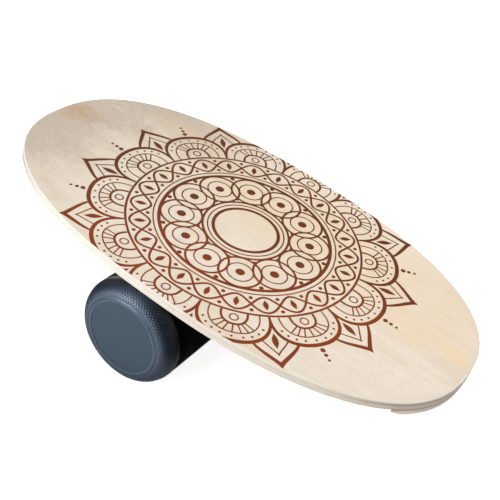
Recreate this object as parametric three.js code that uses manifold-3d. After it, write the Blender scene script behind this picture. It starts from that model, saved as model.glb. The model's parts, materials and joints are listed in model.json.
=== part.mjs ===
// A rola bola: an oval plywood deck with a stopper screwed under each end, resting on a loose roller.
// Millimetres, +Z up. The floor is z = 0, +X is the deck's low end and the roller lies along Y.
import * as THREE from 'three';
import { mergeVertices } from 'three/addons/utils/BufferGeometryUtils.js';
import Module from 'manifold-3d';

const wasm = await Module();
wasm.setup();

// Deck
const deckLength = 760;
const deckWidth = 428;
const deckThickness = 13.5;
const deckTopRound = 2;
const deckUnderRound = 1;
const outlinePower = 2.4;
const outlineSteps = 120;
const roundSteps = 2;

// Stoppers, each cut to the deck's outline. The face towards the roller is a low upright land, then a slope
const stopperReach = 52;
const stopperThickness = 9.5;
const stopperLand = 4;
const stopperSlopeRun = 16;
const stopperEdgeRound = 1.2;

// Roller
const rollerLength = 458;
const rollerRadius = 80;
const rollerOffset = -26;
const rollerSides = 64;
const sleeveWall = 4.7;
const coreWall = 4;

// Cap on each end of the roller
const capLength = 42.5;
const capWall = 5;
const capSeatDepth = 20;
const capEdgeRound = 0.8;
const shoulderDepth = 27;
const shoulderPower = 2.2;
const shoulderSteps = 6;
const lipWidth = 2.6;
const lipHeight = 0.8;
const faceRing = 1.1;
const bossRadius = 7;
const bossSides = 12;

// Disc let into each cap, and plug inside each end of the core tube
const discRadius = 55;
const discThickness = 3;
const discEdgeRound = 0.5;
const plugThickness = 18;
const plugEdgeRound = 1;

// Countersunk screws: head radius, shank radius, length and cross recess
const stopperScrew = { head: 3.6, shank: 1.75, length: 16, tip: 2, slotLength: 3.4, slotWidth: 0.9, slotDepth: 1.1 };
const capScrew = { head: 4.1, shank: 2, length: 30, tip: 2.5, slotLength: 4, slotWidth: 1, slotDepth: 1.3 };
const screwSides = 16;
const stopperScrewSpacing = 50;
const stopperScrewCount = 4;
const capScrewRing = 42;
const capScrewCount = 4;

// Clearances
const seatGap = 0.3;
const slideGap = 0.3;
const holeGap = 0.3;
const cutOverrun = 5;
const weldDistance = 0.0005;

// Shapes as manifold solids

function solidOf(geometry) {
  const bare = geometry.clone();
  bare.deleteAttribute('normal');
  bare.deleteAttribute('uv');
  const welded = mergeVertices(bare, weldDistance);
  const corners = welded.getIndex().array;
  const places = Float32Array.from(welded.getAttribute('position').array);
  const corner = (n) => new THREE.Vector3().fromArray(places, 3 * n);
  const faces = [];
  let volume = 0;
  for (let i = 0; i < corners.length; i += 3) {
    const [a, b, c] = corners.slice(i, i + 3);
    if (a === b || b === c || c === a) continue;
    faces.push([a, b, c]);
    volume += corner(a).dot(corner(b).cross(corner(c)));
  }
  const outward = volume > 0 ? faces : faces.map(([a, b, c]) => [a, c, b]);
  const triVerts = Uint32Array.from(outward.flat());
  return new wasm.Manifold(new wasm.Mesh({ numProp: 3, vertProperties: places, triVerts }));
}

function geometryOf(solid) {
  const mesh = solid.getMesh();
  const geometry = new THREE.BufferGeometry();
  geometry.setAttribute('position', new THREE.Float32BufferAttribute(mesh.vertProperties, 3));
  geometry.setIndex(Array.from(mesh.triVerts));
  geometry.computeVertexNormals();
  return geometry;
}

// A solid of revolution about Y from [radius, y] pairs
function turned(profile, sides) {
  const points = profile.map(([radius, y]) => new THREE.Vector2(radius, y));
  return solidOf(new THREE.LatheGeometry(points, sides));
}

function boxSolid(size, place, turnY = 0) {
  const geometry = new THREE.BoxGeometry(...size);
  geometry.rotateY(turnY);
  geometry.translate(...place);
  return solidOf(geometry);
}

// Deck outline: a superellipse, taken in by a margin all round
const halfLength = deckLength / 2;
const halfWidth = deckWidth / 2;

function outlinePoints(margin) {
  const signedPower = (value) => Math.sign(value) * Math.abs(value) ** (2 / outlinePower);
  const points = [];
  for (let i = 0; i < outlineSteps; i += 1) {
    const angle = (2 * Math.PI * i) / outlineSteps;
    const x = (halfLength - margin) * signedPower(Math.cos(angle));
    const y = (halfWidth - margin) * signedPower(Math.sin(angle));
    points.push([x, y]);
  }
  return points;
}

function outlineX(y) {
  return halfLength * (1 - (Math.abs(y) / halfWidth) ** outlinePower) ** (1 / outlinePower);
}

// An outlined plate with its lower and upper edges rounded, as stacked outlines joined by bands
function roundedPlate(bottom, top, lowerRound, upperRound) {
  const rings = [];
  for (let i = 0; i <= roundSteps; i += 1) {
    const angle = (Math.PI / 2) * (i / roundSteps);
    rings.push([lowerRound * (1 - Math.sin(angle)), bottom + lowerRound * (1 - Math.cos(angle))]);
  }
  for (let i = roundSteps; i >= 0; i -= 1) {
    const angle = (Math.PI / 2) * (i / roundSteps);
    rings.push([upperRound * (1 - Math.sin(angle)), top - upperRound * (1 - Math.cos(angle))]);
  }
  const places = rings.flatMap(([margin, z]) => outlinePoints(margin).map(([x, y]) => [x, y, z]));
  const lowerMiddle = places.push([0, 0, bottom]) - 1;
  const upperMiddle = places.push([0, 0, top]) - 1;
  const upperRing = (rings.length - 1) * outlineSteps;
  const index = [];
  for (let i = 0; i < outlineSteps; i += 1) {
    const next = (i + 1) % outlineSteps;
    index.push(lowerMiddle, next, i, upperMiddle, upperRing + i, upperRing + next);
    for (let ring = 0; ring < upperRing; ring += outlineSteps) {
      const above = ring + outlineSteps;
      index.push(ring + i, ring + next, above + next, ring + i, above + next, above + i);
    }
  }
  const geometry = new THREE.BufferGeometry();
  geometry.setAttribute('position', new THREE.Float32BufferAttribute(places.flat(), 3));
  geometry.setIndex(index);
  return solidOf(geometry);
}

// Screws point along +Y from the top of the head at y = 0, and their holes follow the same sizes

function screwSolid(screw) {
  const headDepth = screw.head - screw.shank;
  const shaft = turned([
    [0, 0],
    [screw.head, 0],
    [screw.shank, headDepth],
    [screw.shank, screw.length - screw.tip],
    [0, screw.length],
  ], screwSides);
  const slot = [screw.slotLength, 2 * screw.slotDepth, screw.slotWidth];
  const slots = boxSolid(slot, [0, 0, 0]).add(boxSolid(slot, [0, 0, 0], Math.PI / 2));
  return shaft.subtract(slots);
}

function screwHole(screw) {
  const headDepth = screw.head - screw.shank;
  return turned([
    [0, -cutOverrun],
    [screw.head + holeGap, -cutOverrun],
    [screw.head + holeGap, 0],
    [screw.shank + holeGap, headDepth],
    [screw.shank + holeGap, screw.length + holeGap],
    [0, screw.length + holeGap],
  ], screwSides);
}

// Deck parts, in the deck's own frame: the origin is the middle of its underside and z is its normal
const stopperTop = -seatGap;
const stopperSole = stopperTop - stopperThickness;
const chordTop = halfLength - stopperReach;
const chordSole = chordTop + stopperSlopeRun;

function stopperScrewPlaces() {
  const places = [];
  for (let i = 0; i < stopperScrewCount; i += 1) {
    const y = (i - (stopperScrewCount - 1) / 2) * stopperScrewSpacing;
    places.push([(chordSole + outlineX(y)) / 2, y, stopperSole]);
  }
  return places;
}

function upwardAt(solid, place) {
  return solid.rotate([90, 0, 0]).translate(place);
}

function stopperHoles() {
  const holes = stopperScrewPlaces().map((place) => upwardAt(screwHole(stopperScrew), place));
  return holes.reduce((all, hole) => all.add(hole));
}

function deckSolid() {
  const holes = stopperHoles();
  return roundedPlate(0, deckThickness, deckUnderRound, deckTopRound)
    .subtract(holes)
    .subtract(holes.rotate([0, 0, 180]));
}

function stopperSolid() {
  const plate = roundedPlate(stopperSole, stopperTop, stopperEdgeRound, 0);
  const inner = boxSolid([2 * deckLength, 2 * deckWidth, 2 * deckLength], [-deckLength, 0, 0]);
  const slope = Math.atan2(stopperThickness - stopperLand, stopperSlopeRun);
  const sloped = inner
    .rotate([0, THREE.MathUtils.radToDeg(slope) - 90, 0])
    .translate([chordTop, 0, stopperTop - stopperLand]);
  return plate.subtract(inner.translate([chordTop, 0, 0])).subtract(sloped).subtract(stopperHoles());
}

// Roller parts, in the roller's own frame: the axis is Y, and depth is measured in from one end
const endPlane = -rollerLength / 2;
const discFace = endPlane + lipHeight;
const recessFloor = discFace + discThickness + seatGap;
const seatPlane = endPlane + capSeatDepth;
const recessRadius = discRadius + seatGap;
const lipRadius = recessRadius + lipWidth;
const shoulderRadius = lipRadius + faceRing;
const sleeveRadius = rollerRadius - sleeveWall;
const coreRadius = sleeveRadius - slideGap;

function shoulderProfile() {
  const points = [];
  for (let i = 0; i <= shoulderSteps; i += 1) {
    const angle = (Math.PI / 2) * (i / shoulderSteps);
    const inwards = 1 - Math.cos(angle) ** (2 / shoulderPower);
    const outwards = Math.sin(angle) ** (2 / shoulderPower);
    const radius = shoulderRadius + (rollerRadius - shoulderRadius) * outwards;
    points.push([radius, discFace + (shoulderDepth - lipHeight) * inwards]);
  }
  return points;
}

function capScrewPlaces() {
  const places = [];
  for (let i = 0; i < capScrewCount; i += 1) {
    const angle = (2 * Math.PI * (i + 1 / 2)) / capScrewCount;
    places.push([capScrewRing * Math.cos(angle), recessFloor, capScrewRing * Math.sin(angle)]);
  }
  return places;
}

function capHoles() {
  const holes = capScrewPlaces().map((place) => screwHole(capScrew).translate(place));
  return holes.reduce((all, hole) => all.add(hole));
}

function capSolid() {
  const mouth = endPlane + capLength;
  const cavityFloor = recessFloor + capWall;
  const cavityRadius = coreRadius - coreWall;
  const shell = turned([
    [0, recessFloor],
    [recessRadius, recessFloor],
    [recessRadius, endPlane],
    [lipRadius, endPlane],
    [lipRadius, discFace],
    ...shoulderProfile(),
    [rollerRadius, mouth - capEdgeRound],
    [rollerRadius - capEdgeRound, mouth],
    [sleeveRadius, mouth],
    [sleeveRadius, seatPlane],
    [cavityRadius, seatPlane],
    [cavityRadius - capWall, cavityFloor + capWall],
    [cavityRadius - 2 * capWall, cavityFloor],
    [0, cavityFloor],
  ], rollerSides);
  const bossLength = seatPlane - recessFloor;
  const bosses = capScrewPlaces().map(([x, y, z]) => {
    const geometry = new THREE.CylinderGeometry(bossRadius, bossRadius, bossLength, bossSides);
    geometry.translate(x, y + bossLength / 2, z);
    return solidOf(geometry);
  });
  return bosses.reduce((all, boss) => all.add(boss), shell).subtract(capHoles());
}

function discSolid() {
  return turned([
    [0, discFace],
    [discRadius - discEdgeRound, discFace],
    [discRadius, discFace + discEdgeRound],
    [discRadius, discFace + discThickness],
    [0, discFace + discThickness],
  ], rollerSides);
}

function plugSolid() {
  const outer = seatPlane + seatGap;
  const inner = outer + plugThickness;
  const radius = coreRadius - coreWall - slideGap;
  const plug = turned([
    [0, outer],
    [radius, outer],
    [radius, inner - plugEdgeRound],
    [radius - plugEdgeRound, inner],
    [0, inner],
  ], rollerSides);
  return plug.subtract(capHoles());
}

function coreSolid() {
  const end = seatPlane + seatGap;
  return turned([
    [coreRadius - coreWall, end],
    [coreRadius, end],
    [coreRadius, -end],
    [coreRadius - coreWall, -end],
    [coreRadius - coreWall, end],
  ], rollerSides);
}

function sleeveSolid() {
  const end = endPlane + capLength + seatGap;
  return turned([
    [sleeveRadius, end],
    [rollerRadius - capEdgeRound, end],
    [rollerRadius, end + capEdgeRound],
    [rollerRadius, -end - capEdgeRound],
    [rollerRadius - capEdgeRound, -end],
    [sleeveRadius, -end],
    [sleeveRadius, end],
  ], rollerSides);
}

// Materials
const finishes = {
  birch: { color: 0xe6d9c2, roughness: 0.55, metalness: 0 },
  plyEdge: { color: 0xc9b190, roughness: 0.7, metalness: 0 },
  capPlastic: { color: 0x46566a, roughness: 0.5, metalness: 0 },
  discPlastic: { color: 0x5d7383, roughness: 0.45, metalness: 0 },
  grip: { color: 0x23262c, roughness: 0.85, metalness: 0 },
  pipe: { color: 0x8f9499, roughness: 0.5, metalness: 0 },
  plugWood: { color: 0xb79a6c, roughness: 0.8, metalness: 0 },
  steel: { color: 0xb4b6b8, roughness: 0.35, metalness: 1 },
};

function piece(name, solid, finish) {
  const mesh = new THREE.Mesh(geometryOf(solid), new THREE.MeshStandardMaterial(finishes[finish]));
  mesh.name = name;
  return mesh;
}

// Assembly
const rollerGap = slideGap;
const axisHeight = rollerRadius;

// The low stopper's rounded edge and the roller both touch the floor, which sets the deck's tilt
function deckTilt() {
  const alongDeck = halfLength - stopperEdgeRound - rollerOffset;
  const aboveAxis = rollerRadius + rollerGap + stopperSole + stopperEdgeRound;
  const reach = Math.hypot(alongDeck, aboveAxis);
  return Math.atan2(aboveAxis, alongDeck) + Math.asin((rollerRadius - stopperEdgeRound) / reach);
}

function buildDeck() {
  const deck = new THREE.Group();
  deck.add(piece('deck_board', deckSolid(), 'birch'));
  for (const [side, turn] of [['low', 0], ['high', Math.PI]]) {
    const end = new THREE.Group();
    end.rotation.z = turn;
    end.add(piece(`stopper_${side}`, stopperSolid(), 'plyEdge'));
    stopperScrewPlaces().forEach((place, i) => {
      const screw = piece(`stopper_${side}_screw_${i + 1}`, screwSolid(stopperScrew), 'steel');
      screw.rotation.x = Math.PI / 2;
      screw.position.set(...place);
      end.add(screw);
    });
    deck.add(end);
  }
  return deck;
}

function buildRoller() {
  const roller = new THREE.Group();
  roller.add(piece('core_tube', coreSolid(), 'pipe'));
  roller.add(piece('grip_sleeve', sleeveSolid(), 'grip'));
  for (const [side, turn] of [['near', 0], ['far', Math.PI]]) {
    const end = new THREE.Group();
    end.rotation.z = turn;
    end.add(piece(`end_cap_${side}`, capSolid(), 'capPlastic'));
    end.add(piece(`end_disc_${side}`, discSolid(), 'discPlastic'));
    end.add(piece(`end_plug_${side}`, plugSolid(), 'plugWood'));
    capScrewPlaces().forEach((place, i) => {
      const screw = piece(`cap_${side}_screw_${i + 1}`, screwSolid(capScrew), 'steel');
      screw.position.set(...place);
      end.add(screw);
    });
    roller.add(end);
  }
  return roller;
}

const tilt = deckTilt();
const roller = buildRoller();
roller.position.set(0, 0, axisHeight);

const deck = buildDeck();
const underside = rollerRadius + rollerGap;
deck.rotation.y = tilt;
deck.position.set(
  underside * Math.sin(tilt) - rollerOffset * Math.cos(tilt),
  0,
  axisHeight + underside * Math.cos(tilt) + rollerOffset * Math.sin(tilt),
);

// The origin is the middle of the whole object's footprint, on the floor
const rolaBola = new THREE.Group();
rolaBola.name = 'rola_bola';
rolaBola.add(deck, roller);
const bounds = new THREE.Box3().setFromObject(rolaBola, true);
const middle = bounds.getCenter(new THREE.Vector3());
rolaBola.position.set(-middle.x, -middle.y, -bounds.min.z);

export default rolaBola;
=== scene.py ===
"""A rola bola dressed for a studio picture: an oval plywood deck that lies on a loose roller.

Metres, +Z up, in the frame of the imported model. The roller lies along Y and +X is the deck's low end.
The deck's pieces are modelled in the deck's own frame, from the middle of its top: x along it towards
the low end, y across it and z its normal. The roller's pieces are modelled about its axis, from its
middle.
"""
import json
import math

import bmesh
import bpy
import numpy as np
from mathutils import Matrix, Vector
from mathutils.geometry import delaunay_2d_cdt


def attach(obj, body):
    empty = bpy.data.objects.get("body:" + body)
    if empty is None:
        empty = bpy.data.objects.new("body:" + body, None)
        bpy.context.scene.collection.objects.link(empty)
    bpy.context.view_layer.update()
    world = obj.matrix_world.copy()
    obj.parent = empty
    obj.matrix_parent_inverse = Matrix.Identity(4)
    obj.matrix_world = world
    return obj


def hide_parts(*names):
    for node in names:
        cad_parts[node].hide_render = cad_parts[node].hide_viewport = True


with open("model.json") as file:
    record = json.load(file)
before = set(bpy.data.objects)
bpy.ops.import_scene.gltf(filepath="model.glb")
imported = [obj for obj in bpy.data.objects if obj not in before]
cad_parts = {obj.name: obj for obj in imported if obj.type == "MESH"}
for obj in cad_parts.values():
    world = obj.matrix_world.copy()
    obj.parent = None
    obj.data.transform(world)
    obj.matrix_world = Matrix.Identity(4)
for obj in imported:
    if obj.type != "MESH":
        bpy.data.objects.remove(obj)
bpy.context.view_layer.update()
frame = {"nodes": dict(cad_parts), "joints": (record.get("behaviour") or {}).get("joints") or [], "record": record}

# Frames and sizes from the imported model

MM = 0.001
mounts = {mount["name"]: mount for mount in frame["record"]["mounts"]}
joints = {joint["name"]: joint for joint in frame["joints"]}
deck_along = Vector(joints["deck_travel"]["axis"])
deck_normal = Vector(mounts["deck_top"]["axis"])
deck_axes = Matrix((deck_along, deck_normal.cross(deck_along), deck_normal)).transposed()
deck_place = Matrix.Translation(Vector(mounts["deck_top"]["pos_m"])) @ deck_axes.to_4x4()
roller_place = Matrix.Translation(Vector(joints["roller_spin"]["pos_m"]))
half_turn = Matrix.Rotation(math.pi, 4, "Z")
stopper_places = {"low": deck_place, "high": deck_place @ half_turn}
end_places = {"near": roller_place, "far": roller_place @ half_turn}


def span(node, place):
    """Lowest and highest corner of a CAD node, in the frame that place gives."""
    inverse = place.inverted()
    corners = np.array([inverse @ vertex.co for vertex in frame["nodes"][node].data.vertices])
    return Vector(corners.min(0)), Vector(corners.max(0))


deck_low, deck_high = span("deck_board", deck_place)
half_length = deck_high.x
half_width = deck_high.y
deck_thickness = deck_high.z - deck_low.z
sleeve_low, sleeve_high = span("grip_sleeve", roller_place)
cap_low, cap_high = span("end_cap_near", roller_place)
disc_low, disc_high = span("end_disc_near", roller_place)
roller_radius = cap_high.x
cap_length = cap_high.y - cap_low.y
end_plane = cap_low.y

# Deck and stoppers
OUTLINE_POWER = 2.4
OUTLINE_STEPS = 420
OUTLINE_SAMPLES = 24
FACE_SHARES = (0.25, 0.5, 0.7, 0.85, 0.95)
PLY = 1.5 * MM
GLUE_LINES = 20
GLUE_GROOVE = 0.14 * MM
DECK_TOP_ROUND = 2 * MM
DECK_UNDER_ROUND = 1 * MM
ROUND_STEPS = 6
END_GRAIN = (0.25, 0.75)
STOPPER_EDGE_ROUND = 1.2 * MM
STOPPER_LAND = 4 * MM
STOPPER_SLOPE_RUN = 16 * MM
ARC_SAMPLES = 8 * OUTLINE_STEPS
ARC_STEPS = OUTLINE_STEPS // 3
CHORD_STEPS = 60

# Screws
SCREW_NUMBERS = range(1, 5)
SCREW_SIDES = 32
SCREW_HEAD = 3.6 * MM
SCREW_SHANK = 1.75 * MM
SCREW_HEAD_DEPTH = SCREW_HEAD - SCREW_SHANK
SCREW_TIP = 2 * MM
SCREW_RIM = 0.15 * MM
RECESS_LENGTH = 3.6 * MM
RECESS_WIDTH = 0.9 * MM
RECESS_DEPTH = 1.2 * MM
HOLE_GAP = 0.3 * MM
UPWARD = Matrix.Rotation(math.pi / 2, 4, "X")

# Roller
SLEEVE_INNER = 75.3 * MM
SLEEVE_EDGE = 0.8 * MM
KNURL_PERIOD = 9 * MM
KNURL_HEIGHT = 0.6 * MM
CORE_WALL = 4 * MM
CAP_WALL = 5 * MM
CAP_SEAT_DEPTH = 20 * MM
SEAT_GAP = 0.15 * MM
DISC_SIDES = 192
DISC_SHARES = (0.2, 0.4, 0.6, 0.8, 0.94)
DISC_EDGE = 0.25 * MM
DISC_EDGE_STEPS = 5
DISC_RELIEF = 0.5
LIP_WIDTH = 2.6 * MM
LIP_HEIGHT = 0.8 * MM
LIP_ROUND = 0.3 * MM
LIP_ROUND_STEPS = 4
LIP_FALL_STEPS = 6
FACE_RING = 1.1 * MM
SHOULDER_DEPTH = 27 * MM
SHOULDER_POWER = 2.2
SHOULDER_SAMPLES = 2000
DOT_PERIOD = 5.5 * MM
DOT_HEIGHT = 0.6 * MM
DOT_EDGE = 0.8
DOT_START = 1.2 * MM
DOT_END_DEPTH = 20 * MM
DOT_FADE = 2.2 * MM
DOT_SAMPLES = 8
BAND_SINK = 0.25 * MM
BEAD_WIDTH = 1.0 * MM
BEAD_STEPS = 6

# One nub that stands on the shoulder beside the lip, its pale tone a painted highlight
NUB_RADIUS = 60.7 * MM
NUB_ANGLE = math.radians(-1.5)
NUB_SIZE = 1.1 * MM
NUB_FOOT = 1.4 * NUB_SIZE
NUB_TOP = 0.6 * NUB_SIZE
NUB_HIGHLIGHT = 2

# Where faces meet at more than so many degrees, the edge shows
SHARP = 35
DECK_SHARP = 50
STOPPER_SHARP = 17
PRINT_SHARP = 30
SLEEVE_SHARP = 60


# Mesh helpers

def linked(name, data):
    """A new object in the scene, made of its data."""
    made = bpy.data.objects.new(name, data)
    bpy.context.scene.collection.objects.link(made)
    return made


def smooth(mesh, sharp):
    """Smooth shading that stops at the sharp edges."""
    mesh.shade_smooth()
    mesh.set_sharp_from_angle(angle=math.radians(sharp))


def mesh_object(name, points, faces, place, coats, slots=None, sharp=SHARP):
    """A smooth mesh piece from points in the frame that place gives."""
    mesh = bpy.data.meshes.new(name)
    mesh.from_pydata([tuple(point) for point in points], [], faces)
    for coat in coats:
        mesh.materials.append(coat)
    if slots is not None:
        mesh.polygons.foreach_set("material_index", slots)
    work = bmesh.new()
    work.from_mesh(mesh)
    bmesh.ops.recalc_face_normals(work, faces=work.faces)
    work.to_mesh(mesh)
    work.free()
    smooth(mesh, sharp)
    piece = linked(name, mesh)
    piece.matrix_world = place
    return piece


def loft(rings, closed=False):
    """Faces between rings of equally many points, where a single point is a pole.

    Gives the points, the faces and the band of rings that each face lies in.
    """
    points = []
    starts = []
    for ring in rings:
        starts.append(len(points))
        points.extend(ring)
    count = max(len(ring) for ring in rings)
    faces = []
    bands = []
    pairs = [(i, i + 1) for i in range(len(rings) - 1)]
    if closed:
        pairs.append((len(rings) - 1, 0))
    for band, (lower, upper) in enumerate(pairs):
        a = starts[lower]
        b = starts[upper]
        for i in range(count):
            j = (i + 1) % count
            if len(rings[lower]) == 1:
                faces.append((a, b + j, b + i))
            elif len(rings[upper]) == 1:
                faces.append((a + i, a + j, b))
            else:
                faces.append((a + i, a + j, b + j, b + i))
            bands.append(band)
    return points, faces, bands


def slots_of(bands, coats, stretches):
    """Each face's material slot: a stretch gives the band that ends it and its coat."""
    ends = [(end, coats.index(coat)) for end, coat in stretches]
    return [next(slot for end, slot in ends if band < end) for band in bands]


def turns(count):
    """Equal steps round a circle."""
    return np.linspace(0, 2 * math.pi, count, endpoint=False)


def flat_ring(places, z):
    """A ring of (x, y) places at one height."""
    return np.column_stack([places, np.full(len(places), z)])


def round_ring(radius, y, angle):
    """A ring about the Y axis, where the radius and y are one number or one for each angle."""
    return np.stack([radius * np.cos(angle), np.broadcast_to(y, angle.shape), radius * np.sin(angle)], 1)


def pole(y):
    """The single point of the Y axis that closes a lathed piece."""
    return np.array([[0, y, 0.0]])


def lathe(profile, sides):
    """Rings about the Y axis from (radius, y) steps, where a radius of nothing is a pole."""
    angle = turns(sides)
    return [round_ring(radius, y, angle) if radius else pole(y) for radius, y in profile]


def quarter_round(count):
    """Steps round a corner of radius 1, as (how far from its side, how far from its end)."""
    turn = [math.pi / 2 * i / count for i in range(count + 1)]
    return [(1 - math.sin(angle), 1 - math.cos(angle)) for angle in turn]


def travelled_along(line):
    """How far along a line of (x, y) places each of them lies."""
    return np.concatenate([[0], np.cumsum(np.hypot(*np.diff(line, axis=0).T))])


def spread_along(line, count, closed=False):
    """Places at equal steps along a line."""
    travelled = travelled_along(line)
    steps = np.linspace(0, travelled[-1], count, endpoint=not closed)
    return np.stack([np.interp(steps, travelled, line[:, 0]), np.interp(steps, travelled, line[:, 1])], 1)


def smooth_step(value, low, high):
    """A smooth rise from 0 at low to 1 at high."""
    share = np.clip((value - low) / (high - low), 0, 1)
    return share * share * (3 - 2 * share)


def corners_of(half_x, half_y):
    """The corners of a rectangle about nothing."""
    return [(half_x, half_y), (-half_x, half_y), (-half_x, -half_y), (half_x, -half_y)]


def cut(piece, cutters):
    """Takes the cutters out of the piece and removes them."""
    for cutter in cutters:
        modifier = piece.modifiers.new("cut", "BOOLEAN")
        modifier.object = cutter
        modifier.solver = "EXACT"
    bpy.context.view_layer.update()
    graph = bpy.context.evaluated_depsgraph_get()
    made = bpy.data.meshes.new_from_object(piece.evaluated_get(graph))
    piece.modifiers.clear()
    piece.data = made
    for cutter in cutters:
        bpy.data.objects.remove(cutter)


def point_values(piece, name, values):
    """One number a point, for a material to read."""
    attribute = piece.data.attributes.new(name, "FLOAT", "POINT")
    attribute.data.foreach_set("value", np.asarray(values, np.float32))


def settle(piece, body, slot, *nodes):
    """The piece rides on a body and stands for its CAD nodes; its slot is not used."""
    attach(piece, body)
    if nodes:
        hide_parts(*nodes)


# Material helpers

def material(name):
    """An empty node material and its tree."""
    made = bpy.data.materials.new(name)
    made.use_nodes = True
    made.node_tree.nodes.clear()
    return made, made.node_tree


def node(tree, kind, sockets=None, **settings):
    """One node, with its inputs given as values or as the outputs that feed them."""
    made = tree.nodes.new("ShaderNode" + kind)
    for key, value in settings.items():
        setattr(made, key, value)
    for key, value in (sockets or {}).items():
        if isinstance(value, bpy.types.NodeSocket):
            tree.links.new(value, made.inputs[key])
        else:
            made.inputs[key].default_value = value
    return made


def object_place(tree):
    """Where a point of the surface lies in its object's own frame."""
    return node(tree, "TexCoord").outputs["Object"]


def noise(tree, cells, detail=4.0, roughness=0.55, distortion=0.0):
    """Noise with so many cells a metre along each axis of the object."""
    sockets = {
        "Vector": node(tree, "Mapping", {"Vector": object_place(tree), "Scale": cells}).outputs["Vector"],
        "Scale": 1.0,
        "Detail": detail,
        "Roughness": roughness,
        "Distortion": distortion,
    }
    return node(tree, "TexNoise", sockets).outputs["Fac"]


def ramp(tree, factor, low, high, from_value=0.0, to_value=1.0):
    """A smooth step between two values of a factor."""
    sockets = {"Value": factor, "From Min": low, "From Max": high, "To Min": from_value, "To Max": to_value}
    return node(tree, "MapRange", sockets, interpolation_type="SMOOTHSTEP").outputs["Result"]


def blend(tree, factor, first, second, mode="MIX"):
    """Two colours mixed, each given as a colour or as the output that feeds it."""
    sockets = {0: factor, 6: first, 7: second}
    return node(tree, "Mix", sockets, data_type="RGBA", blend_type=mode).outputs[2]


def maths(tree, operation, first, second=0.0):
    """One sum of two numbers or outputs."""
    return node(tree, "Math", {0: first, 1: second}, operation=operation).outputs[0]


def surface(tree, colour, roughness, height, distance, **sockets):
    """The shader and the output, with a bump of so many metres from a height."""
    bump = node(tree, "Bump", {"Height": height, "Distance": distance})
    values = {"Base Color": colour, "Roughness": roughness, "Normal": bump.outputs["Normal"], **sockets}
    shader = node(tree, "BsdfPrincipled", values)
    node(tree, "OutputMaterial", {"Surface": shader.outputs["BSDF"]})


def srgb(red, green, blue):
    """A linear colour from 8 bit sRGB numbers."""
    def linear(value):
        share = value / 255
        return share / 12.92 if share <= 0.04045 else ((share + 0.055) / 1.055) ** 2.4
    return (linear(red), linear(green), linear(blue), 1.0)


# Materials

WARM = srgb(246, 214, 164)
HONEY = srgb(236, 212, 180)
TAN = srgb(196, 160, 120)
# The grey of the painted shade on the deck's high, left end
PAINTED_SHADE_GREY = srgb(200, 185, 168)
PORE = srgb(190, 162, 130)
GLUE = srgb(140, 106, 78)
BLUISH = (0.62, 0.78, 1.0, 1.0)

# Middle and reach of each patch of the deck's top in millimetres, its tint and its strength
PATCHES = (
    ((70, 85), (310, 95), HONEY, 0.7),
    # The two greyish patches are painted shade that darkens the deck's high, left end
    ((-370, -20), (110, 200), PAINTED_SHADE_GREY, 0.9),
    ((-280, 150), (160, 80), PAINTED_SHADE_GREY, 0.95),
    ((-356, 24), (32, 24), TAN, 0.75),
    ((-215, 128), (70, 22), WARM, 0.3),
    ((313, 30), (70, 34), WARM, 0.2),
    ((292, -4), (26, 15), WARM, 0.35),
    ((352, 18), (24, 16), WARM, 0.45),
)
PATCH_BORDER = (1.6, 0.2)
COARSE_WANDER = 1.5
FINE_WANDER = 1.6

# Counted in plies from the deck's top: the face veneer's end, the start of the stopper's paler plies,
# and the middle and the strength of each darker line across the edge, one of them near the deck's joint with the
# stopper
FACE_VENEER_END = 0.95
STOPPER_PLIES_FROM = 9.8
DARKER_LINES = ((2.9, 0.75), (9.6, 0.5), (12.9, 0.1))

# The way towards which painted shade darkens the ink, in the deck's frame
INK_SHADE_WAY = (-0.35, 1.0, 0.0)
INK_GLOSS = 0.15


def swing(tree, factor, reach):
    """A noise from 0 to 1, made to swing about 0."""
    return maths(tree, "MULTIPLY", maths(tree, "SUBTRACT", factor, 0.5), reach)


def patched(tree, tone, wander):
    """The veneer's tone with its warm patches and the greyish patches of painted shade at its high end, whose
    borders wander.
    """
    place = object_place(tree)
    for (x, y), (reach_x, reach_y), tint, strength in PATCHES:
        sockets = {
            "Vector": place,
            "Location": (-x / reach_x, -y / reach_y, 0.0),
            "Scale": (1 / (reach_x * MM), 1 / (reach_y * MM), 0.0),
        }
        shifted = node(tree, "Mapping", sockets).outputs["Vector"]
        distance = node(tree, "VectorMath", {0: shifted}, operation="LENGTH").outputs["Value"]
        border = maths(tree, "ADD", distance, wander)
        tone = blend(tree, ramp(tree, border, *PATCH_BORDER, 0, strength), tone, tint)
    return tone


def birch_face(name, pale, tan, patches):
    """Sliced birch veneer with satin lacquer: the grain runs along the deck."""
    made, tree = material(name)
    figure = noise(tree, (4, 15, 5), distortion=1.6)
    mottle = noise(tree, (60, 110, 20), roughness=0.7)
    streak = noise(tree, (10, 150, 20), roughness=0.6, distortion=0.4)
    grain = noise(tree, (40, 420, 420), detail=6, roughness=0.75, distortion=0.5)
    fleck = noise(tree, (240, 1500, 1500), detail=2)
    tone = blend(tree, ramp(tree, figure, 0.35, 0.68), pale, tan)
    if patches:
        cloud = noise(tree, (9, 16, 5), roughness=0.6)
        wander = maths(tree, "ADD", swing(tree, cloud, COARSE_WANDER), swing(tree, mottle, FINE_WANDER))
        tone = patched(tree, tone, wander)
    tone = blend(tree, ramp(tree, mottle, 0.42, 0.72, 0, 0.3), tone, srgb(218, 202, 180))
    tone = blend(tree, ramp(tree, streak, 0.48, 0.68, 0, 0.22), tone, srgb(228, 200, 158))
    tone = blend(tree, ramp(tree, streak, 0.46, 0.3, 0, 0.14), tone, srgb(240, 230, 214))
    tone = blend(tree, ramp(tree, grain, 0.5, 0.75, 0, 0.24), tone, srgb(205, 176, 146), "MULTIPLY")
    tone = blend(tree, ramp(tree, fleck, 0.62, 0.78, 0, 0.45), tone, PORE)
    surface(tree, tone, ramp(tree, grain, 0.3, 0.7, 0.44, 0.58), grain, 0.04 * MM)
    return made


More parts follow.
